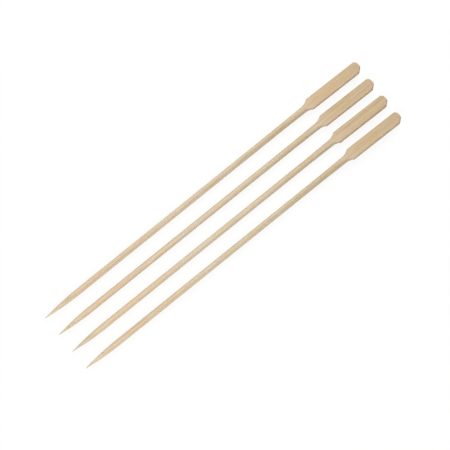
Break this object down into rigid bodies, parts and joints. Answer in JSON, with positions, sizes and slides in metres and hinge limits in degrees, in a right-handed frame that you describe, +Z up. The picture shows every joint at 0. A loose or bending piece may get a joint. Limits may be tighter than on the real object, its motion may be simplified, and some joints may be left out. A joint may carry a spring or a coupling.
{
  "type": "kebab skewer",
  "caption": "Bamboo kebab skewers laid in a row: a long round pointed shaft that runs out through scooped shoulders into a flat paddle grip with two cut corners.",
  "frame": {"origin": "centre of the row's bounding box, on the surface that the paddles lie on", "axes": "+X along the skewers from the points to the paddles, +Y across the row, +Z up"},
  "size_m": [0.2498, 0.049, 0.0039],
  "materials": {
    "bamboo": "dry planed bamboo, matt to faint satin"
  },
  "bodies": {
    "root": {"skewer_1": "bamboo", "skewer_2": "bamboo", "skewer_3": "bamboo", "skewer_4": "bamboo"}
  },
  "joints": []
}
